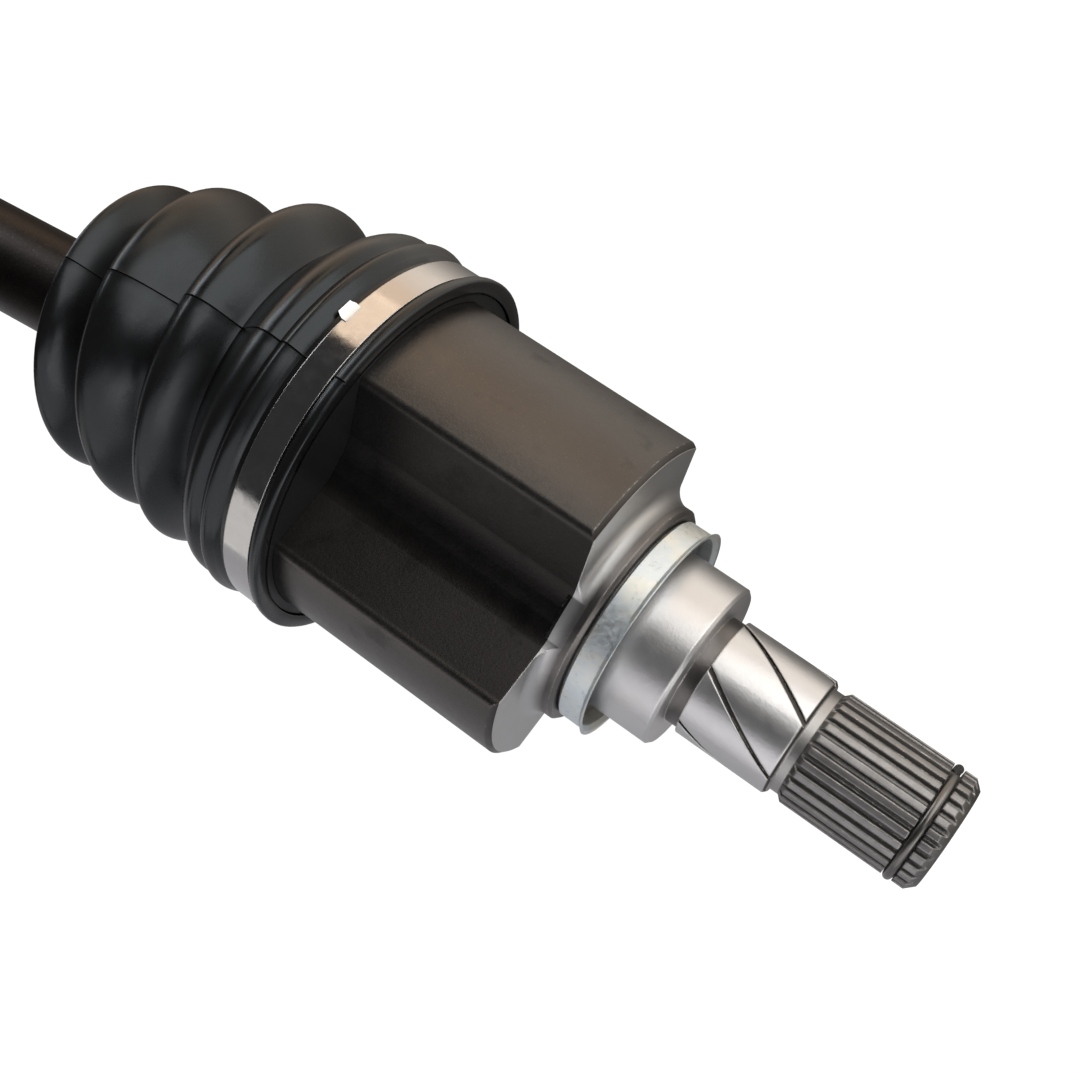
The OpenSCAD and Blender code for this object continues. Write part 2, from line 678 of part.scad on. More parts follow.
module needles_c() {
    needle_set(lobe_angles[2]);
}

// A roller with a crowned outside, so that it can tip in its track
module roller(angle) {
    color([0.62, 0.62, 0.64]) on_trunnion(angle) difference() {
        intersection() {
            translate([0, 0, roller_pitch_r]) sphere(roller_r, $fn = 96);
            translate([0, 0, roller_in_r]) cylinder(roller_w, r = roller_r + over, $fn = 64);
        }
        translate([0, 0, roller_in_r - over]) cylinder(roller_w + 2 * over, r = roller_bore_r, $fn = 64);
    }
}

module roller_a() {
    roller(lobe_angles[0]);
}

module roller_b() {
    roller(lobe_angles[1]);
}

module roller_c() {
    roller(lobe_angles[2]);
}

// A ball's path in the plane through X and Z, from one tilt to another
module ball_track(tilt_0, tilt_1) {
    rotate([90, 0, 0]) rotate(90 - tilt_1) rotate_extrude(angle = tilt_1 - tilt_0, $fn = 96)
        translate([ball_pitch_r, 0]) circle(ball_track_r, $fn = 48);
}

module each_ball() {
    for (i = [0:ball_count - 1]) rotate([i * 360 / ball_count, 0, 0]) children();
}

module inner_race() {
    color([0.6, 0.6, 0.61]) on_ball_joint() difference() {
        turned_section() ball_section(race_r, -race_w / 2, race_w / 2);
        each_ball() ball_track(-70, 70);
        bar_spline_bore(-race_w / 2, race_w / 2);
    }
}

module race_ring() {
    color([0.3, 0.3, 0.3]) on_bar()
        wire_ring(-race_ring_s, bar_spline_d / 2 - bar_ring_wire / 2 + 0.03, bar_ring_wire, 40);
}

module ball_cage() {
    window_w = ball_d + 0.1;
    corner = 3;
    mouth_r = sqrt(pow(cage_in_r, 2) - pow(cage_w / 2 - 2, 2));
    color([0.45, 0.42, 0.4]) on_ball_joint() difference() {
        turned_section() difference() {
            ball_section(cage_out_r, -cage_w / 2, cage_w / 2);
            circle(cage_in_r, $fn = 96);
            translate([0, -cage_w]) square([mouth_r, 2 * cage_w]);
        }
        each_ball() linear_extrude(2 * cage_out_r) {
            square([window_w, 2 * (window_half_len - corner)], center = true);
            square([window_w - 2 * corner, 2 * window_half_len], center = true);
            for (x = [-1, 1], y = [-1, 1])
                translate([x * (window_w / 2 - corner), y * (window_half_len - corner)])
                    circle(corner, $fn = 32);
        }
    }
}

module balls() {
    color([0.75, 0.75, 0.77]) on_ball_joint() each_ball() translate([0, 0, ball_pitch_r])
        sphere(ball_d / 2, $fn = 64);
}

module outer_bell() {
    hub_r = hub_face_d / 2;
    journal_r = hub_journal_d / 2;
    root_r = hub_spline_d / 2 - tooth_height + 0.05;
    thread_r = thread_d / 2;
    land_end = 12;
    mouth_r = sqrt(pow(bell_in_r, 2) - pow(land_end, 2)) + bell_mouth - land_end;
    color([0.14, 0.14, 0.14]) on_ball_joint() difference() {
        union() {
            turned_section() difference() {
                half_section([[bell_end, 0], [bell_end, thread_r - 1.4], [bell_end + 1.4, thread_r],
                    [hub_spline_end - thread_relief, thread_r],
                    [hub_spline_end - thread_relief, thread_r - 1], [hub_spline_end, thread_r - 1],
                    [hub_spline_end, root_r], [hub_journal_end, root_r],
                    [hub_journal_end, journal_r - 0.6], [hub_journal_end + 0.6, journal_r],
                    [-hub_face_setback, journal_r], [-hub_face_setback, hub_r - 0.8],
                    [0.8 - hub_face_setback, hub_r], [3.5 - hub_face_setback, hub_r],
                    [6.5 - hub_face_setback, hub_r + 4], [12 - hub_face_setback, hub_r + 10.5],
                    [20 - hub_face_setback, bell_r - 1.2], [24 - hub_face_setback, bell_r],
                    [bell_groove_x0, bell_r], [bell_groove_x0, bell_groove_r],
                    [bell_groove_x1, bell_groove_r], [bell_groove_x1, bell_r - 0.5],
                    [bell_mouth - 0.6, bell_r - 0.5], [bell_mouth, bell_r - 1.1], [bell_mouth, 0]]);
                circle(bell_in_r, $fn = 96);
                half_section([[land_end - over, 0],
                    [land_end - over, mouth_r - bell_mouth + land_end - over],
                    [bell_mouth + over, mouth_r + over], [bell_mouth + over, 0]]);
            }
            spline(hub_spline_end + 0.6, hub_journal_end - 1.6, hub_spline_d / 2, hub_spline_teeth,
                tooth_height);
        }
        each_ball() ball_track(-42, 60);
        mirror([1, 0, 0]) centre_hole(-bell_end);
    }
}

module outer_boot() {
    cuff_in = bell_mouth - bell_cuff_len;
    cuff_r = outer_cuff_r;
    bead_r = bell_groove_r + boot_gap;
    small_end = outer_boot_reach;
    cuff_start = small_end - small_cuff_len;
    folds = [for (p = fold_points(outer_folds, 4)) [bell_mouth + p[0] * outer_folds_len, p[1]]];
    inner = [for (i = [len(folds) - 4:-1:8]) [folds[i][0], folds[i][1] - boot_wall]];
    color([0.05, 0.05, 0.055]) on_ball_joint() turned(concat(
        [[cuff_in, outer_seat_r], [cuff_in, cuff_r + 0.4], [cuff_in + 1, cuff_r + 0.8],
        [cuff_in + 1.6, cuff_r], [cuff_in + large_clamp_w + 2.2, cuff_r],
        [cuff_in + large_clamp_w + 2.4, cuff_r + 0.6]],
        folds, [[cuff_start + 0.4, small_cuff_r], [small_end, small_cuff_r],
        [small_end, bar_r + boot_gap], [cuff_start - boot_wall, bar_r + boot_gap]],
        inner, [[bell_mouth + 2, bell_r - 2.2], [bell_mouth + boot_gap, bell_r - 2],
            [bell_mouth + boot_gap, outer_seat_r], [bell_groove_x1 - boot_gap, outer_seat_r],
            [bell_groove_x1 - boot_gap, bead_r], [bell_groove_x0 + boot_gap, bead_r],
            [bell_groove_x0 + boot_gap, outer_seat_r]]));
}

module outer_large_clamp() {
    color([0.78, 0.77, 0.75]) on_ball_joint()
        band_clamp(bell_mouth - bell_cuff_len + 1.8, large_clamp_w, outer_cuff_r + boot_gap, 60);
}

module outer_small_clamp() {
    color([0.78, 0.77, 0.75]) on_ball_joint()
        band_clamp(outer_boot_reach - small_clamp_w - clamp_setback, small_clamp_w,
            small_cuff_r + 0.05, 60);
}

inner_housing();
dust_shield();
stub_snap_ring();
boot_adapter();
inner_boot();
inner_large_clamp();
inner_small_clamp();
axle_bar();
spider();
spider_ring();
needle_washers();
trunnion_clips();
needles_a();
needles_b();
needles_c();
roller_a();
roller_b();
roller_c();
inner_race();
race_ring();
ball_cage();
balls();
outer_bell();
outer_boot();
outer_large_clamp();
outer_small_clamp();
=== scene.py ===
import math

import bpy
from mathutils import Matrix, Vector


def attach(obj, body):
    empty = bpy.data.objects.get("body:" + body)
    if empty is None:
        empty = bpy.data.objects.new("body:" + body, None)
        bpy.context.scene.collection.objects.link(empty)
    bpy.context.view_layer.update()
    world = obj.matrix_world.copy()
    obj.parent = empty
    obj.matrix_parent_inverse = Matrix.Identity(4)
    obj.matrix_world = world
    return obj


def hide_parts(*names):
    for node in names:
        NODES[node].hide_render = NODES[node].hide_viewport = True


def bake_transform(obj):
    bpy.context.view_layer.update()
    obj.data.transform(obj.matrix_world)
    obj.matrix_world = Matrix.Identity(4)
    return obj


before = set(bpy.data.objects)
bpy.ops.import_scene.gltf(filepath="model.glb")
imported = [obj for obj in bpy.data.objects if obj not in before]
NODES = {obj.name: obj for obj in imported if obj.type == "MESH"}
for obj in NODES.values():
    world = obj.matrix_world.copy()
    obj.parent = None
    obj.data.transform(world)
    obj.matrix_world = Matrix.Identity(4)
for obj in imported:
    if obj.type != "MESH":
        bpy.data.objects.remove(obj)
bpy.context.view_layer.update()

# Looks of a half-shaft with a tripod joint in its housing and a ball joint in its bell. The metal pieces are
# the CAD's own nodes with new materials. Both boots, the ear of a clamp and the hub's thread are new meshes.
# Lengths are in millimetres, and MM turns them into the scene's metres.

MM = 0.001

# Places and sizes repeated from part.scad
MOUTH_X = -112.0             # open end of the housing
TRIPOD_X = -82.0             # middle of the tripod joint
END_FACE_X = -40.5           # end face of the housing's lobes
LOBE_R = 41.0
PILOT_R = 14.2
REST_BEND = math.radians(6)  # from the housing's axis to the bar
JOINT_SPAN = 420.0           # between the middles of the two joints
BAR_R = 12.7
BELL_R = 43.5
BELL_MOUTH = 18.0            # from the ball joint's middle
LARGE_CUFF_R = 44.8          # groove of the inner boot's large clamp
SMALL_CUFF_R = 16.2          # groove of the small clamps
SMALL_CUFF_LEN = 10.2
INNER_REACH = 110.5          # of each boot, from the middle of its joint
OUTER_REACH = 92.0

# Frames of the bar, at the tripod's middle, and of the ball joint
ON_BAR = Matrix.Translation((TRIPOD_X, 0, 0)) @ Matrix.Rotation(REST_BEND, 4, "Z")
ON_BALL = ON_BAR @ Matrix.Translation((-JOINT_SPAN, 0, 0))


# ---- Meshes

def mesh_piece(name, points, faces, material, smooth_deg, body=None):
    """A mesh object from points in millimetres, smooth shaded up to an angle. It rides on the body told."""
    mesh = bpy.data.meshes.new(name)
    mesh.from_pydata([Vector(p) * MM for p in points], [], faces)
    mesh.update()
    mesh.polygons.foreach_set("use_smooth", [True] * len(mesh.polygons))
    mesh.set_sharp_from_angle(angle=math.radians(smooth_deg))
    mesh.materials.append(material)
    obj = bpy.data.objects.new(name, mesh)
    bpy.context.scene.collection.objects.link(obj)
    if body:
        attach(obj, body)
    return obj


def tube_faces(rings, sides, closed):
    """Quads that join rings of points, with the last ring joined to the first if closed."""
    last = rings if closed else rings - 1
    return [(i * sides + k, i * sides + (k + 1) % sides,
             (i + 1) % rings * sides + (k + 1) % sides, (i + 1) % rings * sides + k)
            for i in range(last) for k in range(sides)]


def polar(x, r, angle):
    """The point at x along the X axis and at a radius and an angle round it."""
    return Vector((x, r * math.cos(angle), r * math.sin(angle)))


def smoothstep(t):
    t = min(1.0, max(0.0, t))
    return t * t * (3 - 2 * t)


# ---- Node trees

class Nodes:
    """A material's node tree, with short calls that add a node and return its output.

    An input is another node's output, a number, or a colour as (r, g, b). It goes by its name, with _ for a
    space, or by its number, as i0, i1 and so on."""

    def __init__(self, name):
        self.mat = bpy.data.materials.new(name)
        self.mat.use_nodes = True
        self.tree = self.mat.node_tree
        self.tree.nodes.clear()
        self.coords = self.add("ShaderNodeTexCoord").outputs["Object"]

    def add(self, kind, props=None, **inputs):
        node = self.tree.nodes.new(kind)
        for key, value in (props or {}).items():
            setattr(node, key, value)
        for key, value in inputs.items():
            numbered = key[0] == "i" and key[1:].isdigit()
            self.put(node.inputs[int(key[1:]) if numbered else key.replace("_", " ")], value)
        return node

    def put(self, socket, value):
        if isinstance(value, bpy.types.NodeSocket):
            self.tree.links.new(value, socket)
        elif socket.type == "RGBA":
            socket.default_value = (*value, 1.0)
        else:
            socket.default_value = value

    def show(self, output):
        """Makes a shader's output the surface of the material."""
        self.tree.links.new(output, self.add("ShaderNodeOutputMaterial").inputs[0])

    def surface(self, **inputs):
        self.show(self.add("ShaderNodeBsdfPrincipled", **inputs).outputs[0])

    def math(self, op, a, b=0.0, clamp=False):
        return self.add("ShaderNodeMath", {"operation": op, "use_clamp": clamp}, i0=a, i1=b).outputs[0]

    def plus(self, a, b):
        return self.math("ADD", a, b)

    def minus(self, a, b):
        return self.math("SUBTRACT", a, b)

    def times(self, a, b):
        return self.math("MULTIPLY", a, b)

    def between(self, value, low, high):
        """One where the value is between two lengths, and zero elsewhere."""
        return self.times(self.math("GREATER_THAN", value, low * MM),
                          self.math("LESS_THAN", value, high * MM))

    def noise(self, scale, detail, rough, where=None, distort=0.0):
        """Noise of so many waves per metre, from 0 to 1."""
        node = self.add("ShaderNodeTexNoise", Vector=self.coords if where is None else where, Scale=scale,
                        Detail=detail, Roughness=rough, Distortion=distort)
        return node.outputs["Fac"]

    def ramp(self, value, low, high, out_low=0.0, out_high=1.0):
        """The value between low and high, as a number between out_low and out_high."""
        node = self.add("ShaderNodeMapRange", {"interpolation_type": "SMOOTHSTEP"},
                        i0=value, i1=low, i2=high, i3=out_low, i4=out_high)
        return node.outputs[0]

    def mix(self, share, a, b):
        """A colour between a and b."""
        return self.add("ShaderNodeMix", {"data_type": "RGBA"}, i0=share, i6=a, i7=b).outputs[2]

    def blend(self, share, a, b):
        """A number between a and b."""
        return self.add("ShaderNodeMix", {"data_type": "FLOAT"}, i0=share, i2=a, i3=b).outputs[0]

    def bump(self, height, depth, strength, normal=None):
        """A normal tilted by a height from 0 to 1, which stands for a depth in millimetres."""
        node = self.add("ShaderNodeBump", Height=height, Distance=depth * MM, Strength=strength)
        if normal is not None:
            self.put(node.inputs["Normal"], normal)
        return node.outputs[0]

    def axis(self, place=None):
        """Place along an axis and distance from it, in metres. The axis is X, or X moved by a matrix."""
        coords = self.coords
        if place is not None:
            back = place.inverted()
            coords = self.add("ShaderNodeMapping", i0=coords, i1=back.to_translation() * MM,
                              i2=back.to_euler()).outputs[0]
        x, y, z = self.add("ShaderNodeSeparateXYZ", i0=coords).outputs
        return x, self.math("SQRT", self.plus(self.times(y, y), self.times(z, z)))

    def lathe_lines(self, x):
        """Fine lines round the axis, as turning and grinding leave, from about -1 to 1."""
        along = self.add("ShaderNodeCombineXYZ", i0=x).outputs[0]
        return self.minus(self.times(self.noise(9000.0, 3.0, 0.7, where=along), 2.0), 1.0)

    def edges(self, radius):
        """How much the surface turns within a radius, high along its edges, and the rounded normal."""
        rounded = self.add("ShaderNodeBevel", {"samples": 6}, Radius=radius * MM).outputs[0]
        flat = self.add("ShaderNodeNewGeometry").outputs["True Normal"]
        same = self.add("ShaderNodeVectorMath", {"operation": "DOT_PRODUCT"}, i0=rounded, i1=flat).outputs[1]
        return self.minus(1.0, same), rounded


class Finish:
    """A material's colour, roughness and strength of lathe lines, each changed where a mask says."""

    def __init__(self, n, colour, rough, lines=0.0):
        self.n = n
        self.colour = colour
        self.rough = rough
        self.lines = lines

    def change(self, mask, colour, rough=None, lines=None):
        self.colour = self.n.mix(mask, self.colour, colour)
        if rough is not None:
            self.rough = self.n.blend(mask, self.rough, rough)
        if lines is not None:
            self.lines = self.n.blend(mask, self.lines, lines)


# ---- Materials

OXIDE = ((0.075, 0.069, 0.065), (0.125, 0.118, 0.112))
OXIDE_PATCH = (0.028, 0.026, 0.025)
OXIDE_SPECK = (0.20, 0.18, 0.165)
# Painted shade: near black, for the valleys and walls between the housing's lobes
PAINTED_VALLEY_SHADE = (0.014, 0.013, 0.013)
BAR_COAT = ((0.022, 0.019, 0.018), (0.040, 0.034, 0.031))
CHIPPED_EDGE = (0.62, 0.58, 0.54)
END_FACE = (0.62, 0.62, 0.62)
# Painted shade across the end face's fillet, also the darker mottling of the end face
PAINTED_FILLET_SHADE_AND_MOTTLE = (0.22, 0.215, 0.21)
GROUND_STEEL = (0.66, 0.655, 0.655)
DARK_STEEL = (0.20, 0.195, 0.19)
TOOTH_LAND = (0.29, 0.28, 0.275)
# Painted shade for the roots between the spline's teeth
PAINTED_ROOT_SHADE = (0.08, 0.077, 0.075)
# Painted shade for the bottoms of the oil grooves
PAINTED_GROOVE_SHADE = (0.085, 0.08, 0.076)
# Painted highlight along the edges of the clamps' bands
PAINTED_EDGE_HIGHLIGHT = (0.74, 0.72, 0.69)
ZINC_BLUE = (0.68, 0.75, 0.79)
ZINC_YELLOW = (0.82, 0.81, 0.73)
ZINC_SPANGLE = (0.82, 0.85, 0.86)
ZINC_DULL = (0.25, 0.28, 0.30)
RUBBER_DUST = (0.05, 0.05, 0.05)
RUBBER_LINE = (0.002, 0.002, 0.002)
RUBBER_SHEEN = (0.87, 0.95, 1.0)

# Machined stretches along the axis: from, to, colour, roughness, strength of the lathe lines
HOUSING_BANDS = [
    (-37.2, -34.5, (0.17, 0.16, 0.155), 0.34, 1.0),     # boss
    (-34.5, -31.4, (0.20, 0.19, 0.185), 0.34, 0.8),     # seat of the dust shield
    (-31.4, -14.75, GROUND_STEEL, 0.38, 1.0),           # seal journal
    (-14.75, -11.45, (0.16, 0.15, 0.145), 0.33, 0.8),   # neck
    (-11.45, 11.35, GROUND_STEEL, 0.36, 1.0),           # pilot journal
    (11.35, 13.5, (0.42, 0.41, 0.40), 0.40, 0.8),       # relief
    (13.5, 60.0, DARK_STEEL, 0.42, 0.3)]                # spline
BELL_BANDS = [
    (-110.1, -40.0, DARK_STEEL, 0.34, 0.3),             # spline and thread
    (-49.2, -39.2, GROUND_STEEL, 0.25, 1.0)]            # hub journal
BAR_BANDS = [
    (-440.0, -407.0, DARK_STEEL, 0.34, 0.3),            # spline in the ball joint
    (-13.3, 30.0, DARK_STEEL, 0.34, 0.3)]               # spline in the tripod

# Splines: from, to, root radius
STUB_SPLINE = (13.5, 60.0, 12.5)
HUB_SPLINE = (-87.0, -49.2, 12.7)
# Oil grooves: from, to, radius of their journal
OIL_GROOVES = (-11.3, 11.3, PILOT_R)


def forging(name, tones, bands, place=None, spline=None, end_face_x=None, oil_grooves=None, shade_r=None):
    """Black oxide forging with machined places, which lie along X or along X moved by a matrix.

    shade_r: radius below which the outside is painted darker, a painted shade for the valleys between lobes"""
    n = Nodes(name)
    x, radius = n.axis(place)
    cloud = n.noise(26.0, 5.0, 0.6)
    grain = n.noise(1500.0, 3.0, 0.6)
    elsewhere = n.add("ShaderNodeVectorMath", {"operation": "ADD"}, i0=n.coords,
                      i1=(0.31, 0.12, 0.2)).outputs[0]
    patch = n.ramp(n.noise(75.0, 4.0, 0.6, where=elsewhere), 0.56, 0.72)
    speck = n.ramp(n.noise(2300.0, 2.0, 0.5), 0.62, 0.76)
    dull = n.plus(n.times(grain, 0.5), n.times(cloud, 0.5))
    finish = Finish(n, n.mix(cloud, *tones), n.ramp(dull, 0.3, 0.7, 0.33, 0.43))
    finish.change(n.times(patch, 0.5), OXIDE_PATCH)
    finish.change(n.times(speck, 0.30), OXIDE_SPECK)
    # Painted shade: below the lobes' radius the outside is painted near black, in the valleys and on the
    # walls between the lobes
    if shade_r is not None:
        finish.change(n.ramp(radius, (shade_r - 2.0) * MM, shade_r * MM, 0.72, 0.0), PAINTED_VALLEY_SHADE)
    for x0, x1, colour, rough, lines in bands:
        finish.change(n.between(x, x0, x1), colour, rough, lines)
    if end_face_x is not None:
        # Painted shade: the grey of the end face is painted darker across its fillet towards the boss. The
        # cloud mottles it with the same darker grey.
        painted_fillet_shade = n.ramp(x, (end_face_x + 0.4) * MM, (end_face_x + 3.2) * MM)
        grey = n.mix(painted_fillet_shade, END_FACE, PAINTED_FILLET_SHADE_AND_MOTTLE)
        grey = n.mix(n.times(cloud, 0.3), grey, PAINTED_FILLET_SHADE_AND_MOTTLE)
        finish.change(n.between(x, end_face_x - 0.12, end_face_x + 3.5), grey, 0.40, 0.35)
    if spline is not None:
        x0, x1, root_r = spline
        inside = n.between(x, x0, x1)
        stained = n.ramp(n.noise(350.0, 4.0, 0.6), 0.35, 0.65, 0.55, 1.0)
        land = n.ramp(radius, (root_r + 0.65) * MM, (root_r + 1.15) * MM)
        # Painted shade: the roots between the teeth are painted darker
        root = n.ramp(radius, (root_r - 0.1) * MM, (root_r + 0.5) * MM, 1.0, 0.0)
        finish.change(n.times(n.times(land, stained), inside), TOOTH_LAND)
        finish.change(n.times(n.times(root, inside), 0.3), PAINTED_ROOT_SHADE)
    if oil_grooves is not None:
        x0, x1, journal_r = oil_grooves
        # Painted shade: the oil grooves are painted darker towards their bottoms
        painted_groove_shade = n.ramp(radius, (journal_r - 0.32) * MM, (journal_r - 0.06) * MM, 1.0, 0.0)
        finish.change(n.times(painted_groove_shade, n.between(x, x0, x1)), PAINTED_GROOVE_SHADE, 0.5, 0.0)
    edge, rounded = n.edges(0.55)
    chips = n.ramp(n.noise(420.0, 4.0, 0.75), 0.50, 0.58)
    finish.change(n.times(n.times(n.ramp(edge, 0.03, 0.16), chips), 0.7), CHIPPED_EDGE)
    tone = n.times(n.lathe_lines(x), finish.lines)
    rough = n.plus(finish.rough, n.times(n.minus(n.noise(260.0, 5.0, 0.7), 0.5), 0.14))
    rough = n.math("ADD", rough, n.times(tone, 0.10), clamp=True)
    normal = n.bump(grain, 0.06, 0.5, rounded)
    normal = n.bump(tone, 0.004, 0.6, normal)
    n.surface(Base_Color=finish.colour, Metallic=1.0, Roughness=rough, Normal=normal)
    return n.mat


def plain_steel(name, low, high, rough, lines=0.6, speckle=0.0, painted_edge_highlights=False):
    """Bare metal with tones between two colours, fine lines and smudges, and where asked a painted highlight
    along its edges.
    """
    n = Nodes(name)
    smudges = n.ramp(n.noise(300.0, 5.0, 0.7), 0.25, 0.75, rough - 0.05, rough + 0.07)
    finish = Finish(n, n.mix(n.noise(120.0, 5.0, 0.65), low, high), smudges)
    if speckle:
        dark = n.ramp(n.noise(900.0, 3.0, 0.7), 0.60, 0.72)
        finish.change(n.times(dark, speckle), [v * 0.35 for v in low])
    rounded = None
    # Painted highlight: the edges are painted lighter and rougher so that they show as bright lines
    if painted_edge_highlights:
        edge, rounded = n.edges(0.28)
        finish.change(n.ramp(edge, 0.02, 0.10), PAINTED_EDGE_HIGHLIGHT, 0.42)
    x, _ = n.axis()
    normal = n.bump(n.times(n.lathe_lines(x), lines), 0.004, 0.5, rounded)
    normal = n.bump(n.noise(1400.0, 3.0, 0.55), 0.012, 0.4, normal)
    n.surface(Base_Color=finish.colour, Metallic=1.0, Roughness=finish.rough, Normal=normal)
    return n.mat


def zinc_plate(name):
    """Zinc plated sheet with the mottled blue and yellow tones of its passivation."""
    n = Nodes(name)
    cloud = n.noise(85.0, 5.0, 0.6, distort=0.4)
    spangle = n.noise(900.0, 3.0, 0.7)
    dull = n.ramp(n.noise(420.0, 5.0, 0.75), 0.55, 0.68)
    colour = n.mix(n.ramp(cloud, 0.36, 0.64), ZINC_BLUE, ZINC_YELLOW)
    colour = n.mix(n.times(n.ramp(spangle, 0.45, 0.70), 0.45), colour, ZINC_SPANGLE)
    colour = n.mix(n.times(dull, 0.35), colour, ZINC_DULL)
    x, _ = n.axis()
    tone = n.lathe_lines(x)
    rough = n.plus(n.ramp(spangle, 0.3, 0.7, 0.42, 0.55), n.times(tone, 0.05))
    _, rounded = n.edges(0.3)
    normal = n.bump(spangle, 0.03, 0.5, rounded)
    normal = n.bump(tone, 0.004, 0.4, normal)
    n.surface(Base_Color=colour, Metallic=1.0, Roughness=rough, Normal=normal)
    return n.mat


def rubber(name, tone, rough):
    """Black rubber with some dust. Its attribute "mould" is one on the line of the mould's halves."""
    n = Nodes(name)
    cloud = n.noise(45.0, 5.0, 0.6)
    dust = n.ramp(n.noise(700.0, 4.0, 0.75), 0.66, 0.78)
    line = n.add("ShaderNodeAttribute", {"attribute_name": "mould"}).outputs["Fac"]
    colour = n.mix(cloud, (tone * 0.75, tone * 0.75, tone * 0.78), (tone * 1.3, tone * 1.3, tone * 1.35))
    colour = n.mix(n.times(dust, 0.25), colour, RUBBER_DUST)
    colour = n.mix(n.times(line, 0.8), colour, RUBBER_LINE)
    stretched = n.add("ShaderNodeMapping", i0=n.coords, i3=(4.0, 1.0, 1.0)).outputs[0]
    streaks = n.times(n.minus(n.noise(90.0, 4.0, 0.65, where=stretched), 0.5), 0.22)
    rough_value = n.plus(n.ramp(cloud, 0.3, 0.7, rough - 0.04, rough + 0.07), streaks)
    normal = n.bump(n.noise(1900.0, 3.0, 0.6), 0.03, 0.35)
    normal = n.bump(n.noise(160.0, 3.0, 0.5), 0.08, 0.3, normal)
    n.surface(Base_Color=colour, Roughness=rough_value, Normal=normal, Specular_IOR_Level=0.42,
              Specular_Tint=RUBBER_SHEEN)
    return n.mat


housing_mat = forging("black_forging_inner", OXIDE, HOUSING_BANDS, spline=STUB_SPLINE, end_face_x=END_FACE_X,
                      oil_grooves=OIL_GROOVES, shade_r=LOBE_R + 0.1)
bell_mat = forging("black_forging_outer", OXIDE, BELL_BANDS, place=ON_BALL, spline=HUB_SPLINE)
bar_mat = forging("black_bar_coat", BAR_COAT, BAR_BANDS, place=ON_BAR)
spring_mat = plain_steel("spring_wire", (0.12, 0.115, 0.11), (0.22, 0.21, 0.20), 0.32, 0.3)
zinc_mat = zinc_plate("zinc_plated_sheet")
machined_mat = plain_steel("machined_steel_grey", (0.40, 0.40, 0.41), (0.52, 0.52, 0.52), 0.30)
bearing_mat = plain_steel("bearing_steel_bright", (0.58, 0.58, 0.59), (0.68, 0.68, 0.68), 0.16)
cage_mat = plain_steel("phosphate_coat", (0.10, 0.095, 0.09), (0.17, 0.165, 0.16), 0.55, 0.2, speckle=0.4)
# The clamps' bands, with a painted highlight along their edges
band_mat = plain_steel("stainless_band_bright", (0.46, 0.45, 0.44), (0.54, 0.53, 0.52), 0.13, 0.7,
                       painted_edge_highlights=True)
# The clamp's ear is painted much lighter than the band's steel, a painted glint
ear_glint_mat = plain_steel("clamp_ear_painted_glint", (0.80, 0.80, 0.79), (0.90, 0.90, 0.89), 0.5, 0.2)
boot_mat = rubber("boot_rubber_black", 0.005, 0.26)
adapter_mat = rubber("adapter_rubber_black", 0.007, 0.45)

# The CAD nodes that wear each material
WEARERS = [
    (housing_mat, ["inner_housing"]),
    (bell_mat, ["outer_bell"]),
    (bar_mat, ["axle_bar"]),
    (spring_mat, ["stub_snap_ring", "spider_ring", "trunnion_clips", "race_ring"]),
    (zinc_mat, ["dust_shield"]),
    (machined_mat, ["spider", "needle_washers", "inner_race"]),
    (bearing_mat, ["needles_a", "needles_b", "needles_c", "roller_a", "roller_b", "roller_c", "balls"]),
    (cage_mat, ["ball_cage"]),
    (band_mat, ["inner_large_clamp", "inner_small_clamp", "outer_large_clamp", "outer_small_clamp"]),
    (boot_mat, ["inner_boot", "outer_boot"]),
    (adapter_mat, ["boot_adapter"])]


def dress(node, material):
    """Gives a CAD node a material in place of its own."""
    materials = NODES[node].data.materials
    if not materials:
        materials.append(material)
    for i in range(len(materials)):
        materials[i] = material


for material, nodes in WEARERS:
    for node in nodes:
        dress(node, material)


# ---- Boots

MOULD_LINE = math.radians(64.5)
# Columns of points round half a boot, in degrees from the mould line, with the height of the surface there
HALF_COLUMNS = ([(0.0, -0.34), (0.24, 0.05), (0.5, 0.0)] + [(3.0 * k, 0.0) for k in range(1, 60)]
                + [(179.5, 0.0), (179.76, 0.05)])
COLUMNS = HALF_COLUMNS + [(a + 180, h) for a, h in HALF_COLUMNS]

FOLD_STEPS = 14        # points from a crest to a valley
FOLD_POWER = 0.62      # below 1 for crests rounder than valleys
WALL = 2.2
BAR_GAP = 0.35         # from the bar to the inside of a small cuff
SAME_PLACE = 1e-6      # points closer along a boot than this are one place
BOOT_SMOOTH_DEG = 42


def fold_profile(folds):
    """Points (x, r) through the crests and valleys, with round crests and tight valleys."""
    points = []
    for (x0, r0), (x1, r1) in zip(folds, folds[1:]):
        low, high = min(r0, r1), max(r0, r1)
        for k in range(FOLD_STEPS):
            t = k / FOLD_STEPS
            below = 1 - t if r1 > r0 else t
            rise = (0.5 + 0.5 * math.cos(math.pi * below)) ** FOLD_POWER
            points.append((x0 + t * (x1 - x0), low + (high - low) * rise))
    return points + [folds[-1]]


def small_cuff(folds_end, end):
    """The seat of the small clamp and the lip behind it, from the last fold to the boot's end."""
    way = math.copysign(1, end - folds_end)
    return [(folds_end + way * 0.4, SMALL_CUFF_R), (end - way * 1.2, SMALL_CUFF_R), (end - way * 0.5, 16.6),
            (end, 16.0)]


def boot_rings(profile, centre, with_mould_line):
    """A ring of points for each (x, r), round the place that centre(x) gives."""
    points = []
    for x, r in profile:
        place = centre(x)
        for degrees, height in COLUMNS:
            ring_r = r + height if with_mould_line else r
            points.append(place @ polar(0, ring_r, MOULD_LINE + math.radians(degrees)))
    return points


